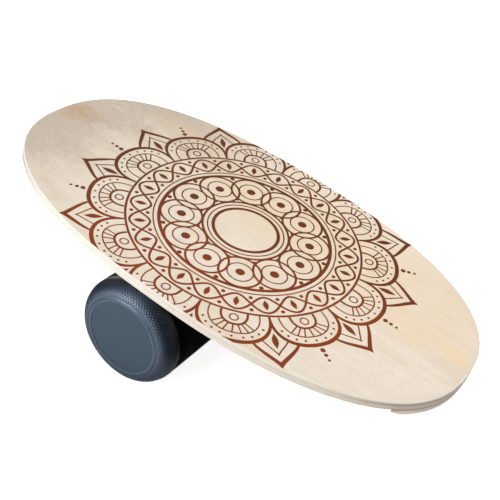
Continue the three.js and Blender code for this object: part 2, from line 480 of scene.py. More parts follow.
def ply_edge():
    """A sanded plywood edge: a pale face veneer, then plies, darker where the grain ends on them, with a painted
    highlight that whitens it towards the deck's high end.
    """
    made, tree = material("ply_edge")
    sides = node(tree, "SeparateXYZ", {0: object_place(tree)}).outputs
    streak = noise(tree, (50, 50, 1100), roughness=0.7)
    pores = noise(tree, (700, 700, 500), detail=2)
    end_on = node(tree, "Attribute", attribute_name="end_on").outputs["Fac"]
    # Painted highlight: the edge turns near white towards the deck's high, left end
    painted_glare = ramp(tree, sides["X"], 0.1, -0.12, 0, 0.8)
    pale = blend(tree, painted_glare, srgb(238, 232, 219), srgb(250, 250, 241))
    ply = maths(tree, "MULTIPLY", sides["Z"], -1 / PLY)
    parity = maths(tree, "MODULO", maths(tree, "FLOOR", ply), 2.0)
    below_face = maths(tree, "GREATER_THAN", ply, FACE_VENEER_END)
    crossed = ramp(tree, end_on, 0.0, 1.0, 0.3, 0.6)
    along = ramp(tree, end_on, 0.0, 1.0, 0.05, 0.3)
    fainter = ramp(tree, ply, STOPPER_PLIES_FROM, 10.4, 1.0, 0.3)
    dark = maths(tree, "MULTIPLY", blend(tree, parity, along, crossed), fainter)
    tone = blend(tree, maths(tree, "MULTIPLY", dark, below_face), pale, srgb(212, 187, 165))
    tone = blend(tree, ramp(tree, ply, STOPPER_PLIES_FROM, 10.6, 0, 0.85), tone, srgb(254, 244, 234))
    tone = blend(tree, ramp(tree, streak, 0.4, 0.75, 0, 0.3), tone, srgb(205, 178, 148), "MULTIPLY")
    tone = blend(tree, ramp(tree, pores, 0.6, 0.8, 0, 0.3), tone, srgb(150, 118, 88))
    across = maths(tree, "ABSOLUTE", maths(tree, "SUBTRACT", maths(tree, "FRACT", ply), 0.5))
    glue = maths(tree, "MULTIPLY", ramp(tree, across, 0.4, 0.49, 0, 0.6), below_face)
    tone = blend(tree, glue, tone, GLUE)
    squarely = ramp(tree, end_on, 0.0, 1.0, 0.12, 1.0)
    for middle, strength in DARKER_LINES:
        away = maths(tree, "ABSOLUTE", maths(tree, "SUBTRACT", ply, middle))
        line = maths(tree, "MULTIPLY", ramp(tree, away, 0.95, 0.15, 0, strength), squarely)
        tone = blend(tree, line, tone, srgb(134, 106, 80))
    surface(tree, tone, ramp(tree, streak, 0.3, 0.7, 0.55, 0.75), pores, 0.05 * MM)
    return made


def printed_ink():
    """Reddish-brown ink that has sunk a little unevenly into the veneer, with painted shade that darkens it
    towards the deck's far side.
    """
    made, tree = material("print_ink")
    cloud = noise(tree, (22, 22, 22), detail=3)
    grain = noise(tree, (14, 420, 420), detail=5, roughness=0.65)
    sockets = {0: object_place(tree), 1: INK_SHADE_WAY}
    along = node(tree, "VectorMath", sockets, operation="DOT_PRODUCT").outputs["Value"]
    tone = blend(tree, ramp(tree, cloud, 0.35, 0.7), srgb(142, 61, 16), srgb(126, 52, 13))
    # Painted shade: the ink darkens towards the deck's far side and high end
    tone = blend(tree, ramp(tree, along, -0.14, 0.04, 0, 0.88), tone, srgb(98, 51, 28))
    tone = blend(tree, ramp(tree, grain, 0.5, 0.75, 0, 0.3), tone, srgb(152, 78, 34))
    roughness = ramp(tree, grain, 0.3, 0.7, 0.5, 0.66)
    surface(tree, tone, roughness, grain, 0.03 * MM, **{"Specular IOR Level": INK_GLOSS})
    return made


def moulded(name, low, high, roughness, speck, gloss, sheen=(1, 1, 1, 1), bend=1.5):
    """Moulded plastic or rubber with a fine matt grain, lighter where it is raised, with painted shade in its
    hollows.
    """
    made, tree = material(name)
    cloud = noise(tree, (18, 18, 18))
    grit = noise(tree, (speck, speck, speck), detail=3, roughness=0.7)
    relief = node(tree, "Attribute", attribute_name="relief").outputs["Fac"]
    # Raised points take the pale tone; the dark tone in the hollows is painted shade
    tone = blend(tree, relief, low, high)
    tone = blend(tree, ramp(tree, cloud, 0.3, 0.75, 0, 0.35), tone, low)
    tone = blend(tree, ramp(tree, grit, 0.55, 0.8, 0, 0.3), tone, high)
    dull = ramp(tree, grit, 0.3, 0.75, roughness - 0.06, roughness + 0.08)
    finish = {"Specular IOR Level": gloss, "Specular Tint": sheen, "IOR": bend}
    surface(tree, tone, dull, grit, 0.05 * MM, **finish)
    return made


def zinc_steel():
    """Plated steel with fine brushing and dull spots."""
    made, tree = material("zinc_steel")
    brush = noise(tree, (900, 900, 200))
    cloud = noise(tree, (220, 220, 220), detail=3)
    tone = blend(tree, ramp(tree, cloud, 0.4, 0.75), srgb(196, 198, 200), srgb(150, 152, 156))
    surface(tree, tone, ramp(tree, brush, 0.3, 0.7, 0.24, 0.44), brush, 0.02 * MM, Metallic=1.0)
    return made


def extruded_pipe():
    """Grey plastic pipe with fine lines along it."""
    made, tree = material("pipe")
    line = noise(tree, (500, 6, 500), detail=3)
    tone = blend(tree, ramp(tree, line, 0.35, 0.7), srgb(150, 154, 158), srgb(120, 124, 130))
    surface(tree, tone, ramp(tree, line, 0.3, 0.7, 0.4, 0.55), line, 0.04 * MM)
    return made


def raw_plywood():
    """Unfinished plywood that lies across the roller."""
    made, tree = material("raw_plywood")
    figure = noise(tree, (20, 8, 90), distortion=0.5)
    grain = noise(tree, (30, 300, 600), roughness=0.7)
    tone = blend(tree, ramp(tree, figure, 0.35, 0.7), srgb(206, 178, 134), srgb(176, 142, 98))
    tone = blend(tree, ramp(tree, grain, 0.5, 0.75, 0, 0.5), tone, srgb(140, 106, 70))
    surface(tree, tone, ramp(tree, grain, 0.3, 0.7, 0.7, 0.85), grain, 0.1 * MM)
    return made


def studio_floor(glow):
    """A pale matt floor that shows from above only, with a glow that keeps it even far off."""
    made, tree = material("studio_floor")
    cloud = noise(tree, (0.6, 0.6, 0.6), detail=2)
    tone = blend(tree, ramp(tree, cloud, 0.3, 0.7), srgb(250, 250, 250), srgb(247, 247, 248))
    sockets = {
        "Base Color": tone,
        "Roughness": 0.9,
        "Specular IOR Level": 0.1,
        "Emission Color": tone,
        "Emission Strength": glow,
    }
    shader = node(tree, "BsdfPrincipled", sockets)
    clear = node(tree, "BsdfTransparent")
    back = node(tree, "NewGeometry").outputs["Backfacing"]
    mixed = node(tree, "MixShader", {0: back, 1: shader.outputs[0], 2: clear.outputs[0]})
    node(tree, "OutputMaterial", {"Surface": mixed.outputs[0]})
    return made


birch_top = birch_face("birch_top", srgb(240, 227, 210), srgb(233, 217, 195), patches=True)
birch_under = birch_face("birch_under", srgb(230, 214, 193), srgb(216, 196, 170), patches=False)
edge_wood = ply_edge()
ink = printed_ink()
# The near-black low tones of the cap and the grip are painted shade in the hollows of their dots and knurl
cap_rubber = moulded("cap_rubber", srgb(2, 3, 5), srgb(56, 69, 98), 0.38, 900, 1.0, BLUISH, 1.65)
# The band's near-black rubber is painted shade, for the band lies in the deck's shadow
shaded_band_rubber = moulded("cap_band_shaded", srgb(3, 4, 6), srgb(16, 20, 27), 0.6, 700, 0.05, BLUISH)
lip_rubber = moulded("cap_lip", srgb(74, 89, 105), srgb(88, 103, 122), 0.38, 700, 0.5, BLUISH)
sleeve_rubber = moulded("grip_rubber", srgb(3, 3, 4), srgb(18, 19, 22), 0.7, 1100, 0.12)
disc_plastic = moulded("disc_plastic", srgb(50, 65, 77), srgb(62, 77, 90), 0.45, 500, 0.4, BLUISH)
steel = zinc_steel()
pipe = extruded_pipe()
plug_wood = raw_plywood()


# Deck

def outline_lines(count):
    """Places at equal steps round the deck's outline, and the directions that point out of it."""
    angle = np.linspace(0, 2 * math.pi, OUTLINE_SAMPLES * count + 1)
    power = 2 / OUTLINE_POWER
    x = half_length * np.sign(np.cos(angle)) * np.abs(np.cos(angle)) ** power
    y = half_width * np.sign(np.sin(angle)) * np.abs(np.sin(angle)) ** power
    places = spread_along(np.stack([x, y], 1), count, closed=True)
    slope = np.sign(places) * np.abs(places / (half_length, half_width)) ** (OUTLINE_POWER - 1)
    outward = slope / (half_length, half_width)
    outward /= np.linalg.norm(outward, axis=1, keepdims=True)
    return places, outward


outline, outward = outline_lines(OUTLINE_STEPS)


def edge_profile(bottom, top, lower_round, upper_round):
    """Steps up a plywood edge as (margin, z), rounded off, with a fine groove at each glue line."""
    corner = quarter_round(ROUND_STEPS)
    steps = [(lower_round * side, bottom + lower_round * end) for side, end in corner]
    for i in range(GLUE_LINES, 0, -1):
        z = -PLY * i
        if bottom + lower_round + GLUE_GROOVE < z < top - upper_round - GLUE_GROOVE:
            steps += [(0, z - GLUE_GROOVE), (GLUE_GROOVE, z), (0, z + GLUE_GROOVE)]
    if not upper_round:
        return [*steps, (0, top)]
    return steps + [(upper_round * side, top - upper_round * end) for side, end in reversed(corner)]


def end_on_share(directions):
    """How squarely an edge cuts the grain that runs along the deck, from 0 to 1."""
    return smooth_step(np.abs(directions[:, 0]), *END_GRAIN)


def make_deck():
    """The deck board: its underside, its edge from below upwards, and its top."""
    centre = np.zeros((1, 2))
    profile = edge_profile(-deck_thickness, 0.0, DECK_UNDER_ROUND, DECK_TOP_ROUND)
    under = outline - DECK_UNDER_ROUND * outward
    over = outline - DECK_TOP_ROUND * outward
    rings = [flat_ring(centre, -deck_thickness)]
    rings += [flat_ring(share * under, -deck_thickness) for share in FACE_SHARES]
    first_edge = len(rings)
    rings += [flat_ring(outline - margin * outward, z) for margin, z in profile]
    last_edge = len(rings) - 1
    rings += [flat_ring(share * over, 0.0) for share in reversed(FACE_SHARES)]
    rings.append(flat_ring(centre, 0.0))
    points, faces, bands = loft(rings)
    coats = [birch_top, edge_wood, birch_under]
    stretches = ((first_edge, birch_under), (last_edge, edge_wood), (len(rings), birch_top))
    slots = slots_of(bands, coats, stretches)
    deck = mesh_object("deck", points, faces, deck_place, coats, slots, DECK_SHARP)
    ring_share = end_on_share(outward)
    values = np.concatenate([ring_share if len(ring) > 1 else [0.0] for ring in rings])
    point_values(deck, "end_on", values)
    settle(deck, "deck", "deck", "deck_board")


# Stoppers

def arc_beyond(margin, chord, count):
    """The outline, taken in by a margin, from its near side to its far side beyond x = chord."""
    places, directions = outline_lines(ARC_SAMPLES)
    places = np.roll(places - margin * directions, len(places) // 2, axis=0)
    beyond = places[:, 0] >= chord
    first = int(np.argmax(beyond))
    last = len(beyond) - 1 - int(np.argmax(beyond[::-1]))
    ends = []
    for inside, outside in ((first, first - 1), (last, last + 1)):
        share = (places[inside, 0] - chord) / (places[inside, 0] - places[outside, 0])
        ends.append(places[inside] + share * (places[outside] - places[inside]))
    return spread_along(np.vstack([ends[0], places[first:last + 1], ends[1]]), count)


def stopper_ring(margin, z, top, bottom, chord_top):
    """One level of a stopper: the outline beyond its inner face, then straight back across."""
    slope_top = top - STOPPER_LAND
    chord = chord_top + STOPPER_SLOPE_RUN * max(0.0, (slope_top - z) / (slope_top - bottom))
    arc = arc_beyond(margin, chord, ARC_STEPS)
    back = np.linspace(arc[-1], arc[0], CHORD_STEPS + 2)[1:-1]
    return flat_ring(np.vstack([arc, back]), z)


def screw_places(side):
    """Where each screw's head lies under a stopper, in the deck's frame, and the screws' length."""
    places = []
    for i in SCREW_NUMBERS:
        low, high = span(f"stopper_{side}_screw_{i}", deck_place)
        places.append(Vector(((low.x + high.x) / 2, (low.y + high.y) / 2, low.z)))
        length = high.z - low.z
    return places, length


def make_screw(name, place, length):
    """A countersunk screw that points up the deck's normal, with a cross recess in its head."""
    profile = [
        (0, 0),
        (SCREW_HEAD - 2 * SCREW_RIM, 0),
        (SCREW_HEAD, SCREW_RIM),
        (SCREW_HEAD, 2 * SCREW_RIM),
        (SCREW_SHANK, SCREW_HEAD_DEPTH),
        (SCREW_SHANK, length - SCREW_TIP),
        (0, length),
    ]
    points, faces, _ = loft(lathe(profile, SCREW_SIDES))
    screw = mesh_object(name, points, faces, place, [steel])
    arms = []
    for turn in (0, 1):
        top = [(x, -RECESS_DEPTH, z) for x, z in corners_of(RECESS_LENGTH / 2, RECESS_WIDTH / 2)]
        floor = [(x, RECESS_DEPTH, z) for x, z in corners_of(RECESS_LENGTH / 4, RECESS_WIDTH / 3)]
        points, faces, _ = loft([np.array(top), np.array(floor)])
        faces += [(0, 1, 2, 3), (4, 5, 6, 7)]
        turned_place = place @ Matrix.Rotation(turn * math.pi / 2, 4, "Y")
        arms.append(mesh_object("recess", points, faces, turned_place, [steel]))
    cut(screw, arms)
    smooth(screw.data, SHARP)
    return screw


def make_stopper(side):
    """The plywood block under one end of the deck, its screw holes and its screws."""
    low, high = span("stopper_low", deck_place)
    top, bottom, chord_top = high.z, low.z, low.x
    profile = edge_profile(bottom, top, STOPPER_EDGE_ROUND, 0.0)
    profile = sorted([*profile, (0, top - STOPPER_LAND)], key=lambda step: step[1])
    rings = [stopper_ring(margin, z, top, bottom, chord_top) for margin, z in profile]
    middle = [rings[0].mean(0, keepdims=True), rings[-1].mean(0, keepdims=True)]
    points, faces, bands = loft([middle[0], *rings, middle[1]])
    coats = [birch_under, edge_wood]
    stretches = ((1, birch_under), (len(rings), edge_wood), (len(rings) + 1, birch_under))
    slots = slots_of(bands, coats, stretches)
    place = stopper_places[side]
    name = f"stopper_{side}_block"
    stopper = mesh_object(name, points, faces, place, coats, slots, STOPPER_SHARP)
    screws, length = screw_places(side)
    hole = [
        (0, -2 * SCREW_HEAD),
        (SCREW_HEAD + HOLE_GAP, -2 * SCREW_HEAD),
        (SCREW_HEAD + HOLE_GAP, SCREW_RIM),
        (SCREW_SHANK + HOLE_GAP, SCREW_HEAD_DEPTH + SCREW_RIM),
        (SCREW_SHANK + HOLE_GAP, length),
        (0, length),
    ]
    cutters = []
    for screw in screws:
        points, faces, _ = loft(lathe(hole, SCREW_SIDES))
        screw_place = deck_place @ Matrix.Translation(screw) @ UPWARD
        cutters.append(mesh_object("hole", points, faces, screw_place, [birch_under]))
    cut(stopper, cutters)
    places = np.array([vertex.co for vertex in stopper.data.vertices])
    corner = outline[:, 0] > chord_top
    nearest = np.abs(outline[corner, 1][None, :] - places[:, 1][:, None]).argmin(1)
    share = end_on_share(outward[corner][nearest])
    share[places[:, 0] < chord_top + STOPPER_SLOPE_RUN + STOPPER_EDGE_ROUND] = 1.0
    point_values(stopper, "end_on", share)
    settle(stopper, "deck", "stopper", f"stopper_{side}")
    for i, screw in zip(SCREW_NUMBERS, screws):
        screw_place = deck_place @ Matrix.Translation(screw + Vector((0, 0, 2 * SCREW_RIM))) @ UPWARD
        piece = make_screw(f"wood_screw_{side}_{i}", screw_place, length - 2 * SCREW_RIM)
        settle(piece, "deck", "screw", f"stopper_{side}_screw_{i}")


# Print: a rosette of plain motifs, in millimetres about the deck's middle

FOLDS = 12
FOLD = 2 * math.pi / FOLDS
THICK = 5.2
MEDIUM = 3.5
THIN = 2.1
THICKEST = THICK + THIN / 2
RINGS = ((50, THICK), (58.5, THIN), (66, MEDIUM), (131, THICK), (139.5, THIN), (180, MEDIUM))
RING_STEPS = 180
DOT_STEPS = 14

# The chain of linked circles: where its middle runs, the circles, and dots as (outward, size)
CHAIN = 98.5
CIRCLE = 31.5
CIRCLE_STEPS = 90
EYE = 19
EYE_STEPS = 60
PUPIL = 7
CHAIN_DOTS = ((27, 3.6), (-25.5, 2.6))

# The twist of two waves: where its middle runs, its swing, the leaf (foot, tip, width) in each loop
# and the dots between the loops
TWIST = 159.5
TWIST_SWING = 15
TWIST_STEPS = 720
TWIST_LEAF = (149.5, 169.5, 8)
TWIST_DOTS = ((12, 3), (-12, 3))

# Petals: the lines inside one as (how far in from its tip, share of its spread), its eye as (middle,
# radius, steps), and the dots beyond it as (outward, size)
PETAL_FOOT = 182
PETAL_TIP = 236
PETAL_SPREAD = FOLD / 2
PETAL_POWER = 2.3
PETAL_STEPS = 34
PETAL_RIM = (8, 0.86)
PETAL_MIDDLE = (15, 0.72)
PETAL_HEART = (31, 0.38)
FAN_STEPS = 7
RIM_DOT = 0.9 * THIN
PETAL_EYE = ((192, 0), 6, 24)
TIP_DOTS = ((10, 3.8), (19, 3), (28, 2.2))

# Leaves: the line inside one as (how far in from its tip, share of its width), and its solid heart as
# (foot, tip, width)
LEAF_FOOT = 168
LEAF_TIP = 268
LEAF_WIDTH = 70
LEAF_POWER = 1.2
LEAF_STEPS = 60
INNER_LEAF = (18, 0.66)
LEAF_HEART = (211, 240, 9)
SLIM_LEAF_STEPS = 16

# The ink's body: its top and bottom about the deck's top, and how far it stays from the rounded edge
INK_TOP = 0.09 * MM
INK_BOTTOM = -0.03 * MM
INK_EDGE = 0.4 * MM
LEAST_MITRE = 0.4
TINY = 1e-9

# Joining the strokes: triangles inside them only, and corners this near become one
INSIDE_ONLY = 1
JOIN_WITHIN = 1e-4


def polar(radius, angle):
    """The place at a radius and an angle, or such places."""
    return np.stack([radius * np.cos(angle), radius * np.sin(angle)], -1)


def circle(middle, radius, steps):
    """Places round a circle."""
    return np.asarray(middle) + polar(np.full(steps, radius), turns(steps))


def dot(radius, angle, size):
    """A round dot at a radius and an angle."""
    return circle(polar(radius, angle), size, DOT_STEPS)


def both_sides(side):
    """A line that runs up one side, round the tip and back down the mirrored side."""
    return np.vstack([side, side[-2::-1] * (1, -1)])


def petal(inward, share, steps=PETAL_STEPS):
    """A round-tipped petal about the x axis, from one end of its foot over the tip to the other."""
    tip = PETAL_TIP - inward
    turn = np.linspace(0, math.pi / 2, steps)
    rise = np.sin(turn) ** (2 / PETAL_POWER)
    half = share * PETAL_SPREAD * np.cos(turn) ** (2 / PETAL_POWER)
    return both_sides(polar(PETAL_FOOT + (tip - PETAL_FOOT) * rise, half))


def clear_of_petals(points):
    """Which points near the x axis lie outside the two petals on either side of it."""
    radius = np.hypot(points[:, 0], points[:, 1])
    angle = np.arctan2(points[:, 1], points[:, 0])
    aside = (FOLD / 2 - np.abs(angle)) / PETAL_SPREAD
    along = (radius - PETAL_FOOT) / (PETAL_TIP - PETAL_FOOT)
    return (along > 0) & (np.abs(along) ** PETAL_POWER + np.abs(aside) ** PETAL_POWER > 1)


def leaf(foot, tip, width, steps=LEAF_STEPS):
    """One side of a pointed leaf along the x axis, from its foot to its tip."""
    share = np.linspace(0, 1, steps)
    half = width / 2 * np.sin(math.pi * share) ** LEAF_POWER
    return np.stack([foot + (tip - foot) * share, half], 1)


def slim_leaf(foot, tip, width):
    """A slim solid leaf along the x axis."""
    return both_sides(leaf(foot, tip, width, SLIM_LEAF_STEPS))[:0:-1]


def shown_leaf(inward, share):
    """What the petals leave free of a leaf's outline."""
    side = leaf(LEAF_FOOT, LEAF_TIP - inward, share * LEAF_WIDTH)
    return both_sides(side[clear_of_petals(side)])


def turned(points, angle):
    """Points turned about the deck's middle."""
    cosine, sine = math.cos(angle), math.sin(angle)
    return np.asarray(points) @ np.array([[cosine, sine], [-sine, cosine]])


def stroke(points, width, closed=False):
    """Four-cornered pieces that lay a line along points, of one width or of a width a point."""
    points = np.asarray(points, float)
    widths = np.broadcast_to(np.asarray(width, float), len(points))
    before = np.roll(points, 1, axis=0)
    after = np.roll(points, -1, axis=0)
    if not closed:
        before[0] = 2 * points[0] - points[1]
        after[-1] = 2 * points[-1] - points[-2]
    first = points - before
    second = after - points
    first /= np.linalg.norm(first, axis=1, keepdims=True)
    second /= np.linalg.norm(second, axis=1, keepdims=True)
    middle = first + second
    middle /= np.maximum(np.linalg.norm(middle, axis=1, keepdims=True), TINY)
    mitre = 1 / np.maximum((middle * first).sum(1), LEAST_MITRE)
    offset = np.stack([-middle[:, 1], middle[:, 0]], 1) * (widths * mitre / 2)[:, None]
    left = points + offset
    right = points - offset
    count = len(points) if closed else len(points) - 1
    pieces = []
    for i in range(count):
        j = (i + 1) % len(points)
        pieces.append([left[i], right[i], right[j], left[j]])
    return pieces


def swelling_stroke(points):
    """A line that swells from medium at its ends to its thickest in the middle."""
    share = np.sin(np.linspace(0, math.pi, len(points)))
    return stroke(points, MEDIUM + (THICKEST - MEDIUM) * share)


def ring_bands():
    """The middle of the rosette: rings, a chain of linked circles and a twist of two waves."""
    shapes = []
    for radius, width in RINGS:
        shapes += stroke(circle((0, 0), radius, RING_STEPS), width, True)
    for i in range(FOLDS):
        angle = i * FOLD
        between = angle + FOLD / 2
        middle = polar(CHAIN, angle)
        shapes += stroke(circle(middle, CIRCLE, CIRCLE_STEPS), MEDIUM, True)
        shapes += stroke(circle(middle, EYE, EYE_STEPS), THIN, True)
        shapes.append(dot(CHAIN, angle, PUPIL))
        shapes += [dot(CHAIN + away, between, size) for away, size in CHAIN_DOTS]
        shapes += [turned(slim_leaf(*TWIST_LEAF), place) for place in (angle, between)]
        for place in (angle + FOLD / 4, between + FOLD / 4):
            shapes += [dot(TWIST + away, place, size) for away, size in TWIST_DOTS]
    turn = turns(TWIST_STEPS)
    for side in (-1, 1):
        wave = TWIST + side * TWIST_SWING * np.cos(FOLDS * turn)
        shapes += stroke(polar(wave, turn), MEDIUM, True)
    return shapes


def petal_shapes():
    """One round-tipped petal along the x axis: outlines, a dotted rim, a fan and an eye."""
    shapes = swelling_stroke(petal(0, 1))
    shapes += stroke(petal(*PETAL_MIDDLE), THIN)
    shapes += stroke(petal(*PETAL_HEART), MEDIUM)
    shapes += [circle(place, RIM_DOT, DOT_STEPS) for place in petal(*PETAL_RIM, FAN_STEPS)[2:-2]]
    inner_fan = petal(*PETAL_HEART, FAN_STEPS)
    outer_fan = petal(*PETAL_MIDDLE, FAN_STEPS)
    for start, end in zip(inner_fan[3:-3], outer_fan[3:-3]):
        shapes += stroke([start, end], THIN)
    shapes += stroke(circle(*PETAL_EYE), THIN, True)
    shapes += [dot(PETAL_TIP + away, 0, size) for away, size in TIP_DOTS]
    return shapes


def leaf_shapes():
    """One pointed leaf along the x axis: two outlines round a slim solid leaf."""
    shapes = swelling_stroke(shown_leaf(0, 1))
    shapes += stroke(shown_leaf(*INNER_LEAF), THIN)
    shapes.append(slim_leaf(*LEAF_HEART))
    return shapes


def rosette_shapes():
    """Every stroke and dot of the print as small polygons."""
    shapes = ring_bands()
    for i in range(FOLDS):
        shapes += [turned(shape, i * FOLD) for shape in petal_shapes()]
        shapes += [turned(shape, (i + 0.5) * FOLD) for shape in leaf_shapes()]
    return shapes


def make_print():
    """The ink as one thin body: the strokes, joined and ended where the deck's edge rounds off."""
    shapes = rosette_shapes()
    edge = (outline - (DECK_TOP_ROUND + INK_EDGE) * outward) / MM
    corners = []
    faces = []
    for shape in [*shapes, edge]:
        faces.append(list(range(len(corners), len(corners) + len(shape))))
        corners.extend([tuple(corner) for corner in shape])
    clip = len(faces) - 1
    joined = delaunay_2d_cdt([Vector(c) for c in corners], [], faces, INSIDE_ONLY, JOIN_WITHIN, True)
    places, triangles, covers = joined[0], joined[2], joined[5]
    kept = [triangle for triangle, ids in zip(triangles, covers) if clip in ids and len(ids) > 1]
    used = sorted({corner for triangle in kept for corner in triangle})
    renumbered = {corner: i for i, corner in enumerate(used)}
    top = [(places[corner][0] * MM, places[corner][1] * MM, INK_TOP) for corner in used]
    bottom = [(x, y, INK_BOTTOM) for x, y, _ in top]
    upper = [tuple(renumbered[corner] for corner in triangle) for triangle in kept]
    lower = [tuple(len(used) + corner for corner in reversed(triangle)) for triangle in upper]
    directed = {(triangle[i], triangle[(i + 1) % 3]) for triangle in upper for i in range(3)}
    rim = [(a, b) for a, b in directed if (b, a) not in directed]
    walls = [(b, a, len(used) + a, len(used) + b) for a, b in rim]
    faces = upper + lower + walls
    piece = mesh_object("deck_print", top + bottom, faces, deck_place, [ink], None, PRINT_SHARP)
    settle(piece, "deck", "print")


# Roller

def shoulder_steps(inner):
    """Steps over the cap's round shoulder as (radius, depth), a dot's sample apart."""
    turn = np.linspace(0, math.pi / 2, SHOULDER_SAMPLES)
    radius = inner + (roller_radius - inner) * np.sin(turn) ** (2 / SHOULDER_POWER)
    depth = LIP_HEIGHT + (SHOULDER_DEPTH - LIP_HEIGHT) * (1 - np.cos(turn) ** (2 / SHOULDER_POWER))
    line = np.stack([radius, depth], 1)
    count = int(travelled_along(line)[-1] / (DOT_PERIOD / DOT_SAMPLES))
    return spread_along(line, count + 1)[1:].tolist()


def cap_profile():
    """Steps of the cap's section as (radius, depth), and where its lip, dots and band end."""
    recess = disc_high.x + SEAT_GAP
    recess_floor = disc_high.y - end_plane + SEAT_GAP
    lip = recess + LIP_WIDTH
    shoulder = lip + FACE_RING
    steps = [(0, recess_floor), (recess, recess_floor), (recess, LIP_ROUND)]
    for side, end in quarter_round(LIP_ROUND_STEPS)[1:]:
        steps.append((recess + LIP_ROUND * end, LIP_ROUND * side))
    for i in range(LIP_FALL_STEPS + 1):
        share = i / LIP_FALL_STEPS
        radius = lip - LIP_ROUND + (shoulder - lip + LIP_ROUND) * share
        steps.append((radius, LIP_HEIGHT * smooth_step(share, 0, 1)))
    lip_end = len(steps) - 2
    dots_start = len(steps)
    steps += shoulder_steps(shoulder)
    dots_end = len(steps)
    sunk = roller_radius - BAND_SINK
    bead = cap_length - BEAD_WIDTH
    steps.append((roller_radius, SHOULDER_DEPTH + 2 * BAND_SINK))
    steps += [(sunk, SHOULDER_DEPTH + 6 * BAND_SINK), (sunk, bead - BAND_SINK)]
    band_end = len(steps)
    for i in range(BEAD_STEPS + 1):
        angle = math.pi * i / BEAD_STEPS
        radius = roller_radius - BAND_SINK * (1 - math.sin(angle))
        steps.append((radius, bead + BEAD_WIDTH / 2 * (1 - math.cos(angle))))
    cavity = SLEEVE_INNER - CORE_WALL - SEAT_GAP
    floor = recess_floor + CAP_WALL
    steps += [(SLEEVE_INNER, cap_length), (SLEEVE_INNER, CAP_SEAT_DEPTH), (cavity, CAP_SEAT_DEPTH)]
    steps += [(cavity - CAP_WALL, floor + CAP_WALL), (cavity - 2 * CAP_WALL, floor), (0, floor)]
    return np.array(steps), lip_end, dots_start, dots_end, band_end


def cap_rings(steps, dots_start, dots_end, band_end):
    """The cap's rings, with round dots raised on its shoulder, and how pale each point is: pale dots over hollows
    of painted shade, and a painted highlight on the nub and the bead.
    """
    around = round(2 * math.pi * roller_radius / DOT_PERIOD)
    angle = turns(around * DOT_SAMPLES)
    travelled = travelled_along(steps)
    rings = []
    relief = []
    for i, (radius, depth) in enumerate(steps):
        if radius == 0:
            rings.append(pole(end_plane + depth))
            relief.append(np.zeros(1))
            continue
        # Past the band, the bead and the cap's hidden inside take the pale tone: on the bead it is a painted
        # highlight
        paleness = np.full(len(angle), float(i > band_end))
        if dots_start <= i < dots_end:
            along = travelled[i] - travelled[dots_start]
            fade_in = smooth_step(along, 0.0, DOT_START)
            fade_out = smooth_step(depth, DOT_END_DEPTH - DOT_FADE, DOT_END_DEPTH)
            fade = fade_in * (1 - fade_out)
            lattice = math.cos(2 * math.pi * along / DOT_PERIOD) * np.cos(around * angle)
            dots = smooth_step(lattice, 0.0, DOT_EDGE) * fade
            tangent = steps[i + 1] - steps[i - 1]
            tangent /= np.hypot(*tangent)
            sunk = (dots - fade) * DOT_HEIGHT
            radius = radius + sunk * tangent[1]
            depth = depth - sunk * tangent[0]
            sideways = radius * np.sin(angle - NUB_ANGLE)
            away = np.hypot(radius * np.cos(angle - NUB_ANGLE) - NUB_RADIUS, sideways)
            nub = smooth_step(away, NUB_FOOT, NUB_TOP)
            depth = depth - nub * DOT_HEIGHT
            # The nub's pale tone is a painted highlight
            paleness = np.maximum(dots, NUB_HIGHLIGHT * nub)
        rings.append(round_ring(radius, end_plane + depth, angle))
        relief.append(paleness)
    return rings, np.concatenate(relief)


def make_caps():
    """The two end caps: a lip round the disc, a dotted shoulder, a smooth band darkened with painted shade and a
    bead.
    """
    steps, lip_end, dots_start, dots_end, band_end = cap_profile()
    rings, relief = cap_rings(steps, dots_start, dots_end, band_end)
    points, faces, bands = loft(rings)
    coats = [cap_rubber, lip_rubber, shaded_band_rubber]
    stretches = (
        (lip_end, lip_rubber),
        (dots_end, cap_rubber),
        (band_end + BEAD_STEPS, shaded_band_rubber),
        (len(rings), cap_rubber),
    )
    slots = slots_of(bands, coats, stretches)
    for side, place in end_places.items():
        cap = mesh_object(f"cap_{side}", points, faces, place, coats, slots)
        point_values(cap, "relief", relief)
        settle(cap, "roller", "cap", f"end_cap_{side}")


def make_discs():
    """The discs let into the caps: a flat face with a fine rounded edge."""
    outer = disc_high.x
    face = disc_low.y
    profile = [(0, face)]
    profile += [(outer * share, face) for share in DISC_SHARES]
    for side, end in quarter_round(DISC_EDGE_STEPS):
        profile.append((outer - DISC_EDGE * side, face + DISC_EDGE * end))
    profile += [(outer, disc_high.y), (0, disc_high.y)]
    points, faces, _ = loft(lathe(profile, DISC_SIDES))
    for side, place in end_places.items():
        disc = mesh_object(f"disc_{side}", points, faces, place, [disc_plastic])
        point_values(disc, "relief", np.full(len(points), DISC_RELIEF))
        settle(disc, "roller", "disc", f"end_disc_{side}")


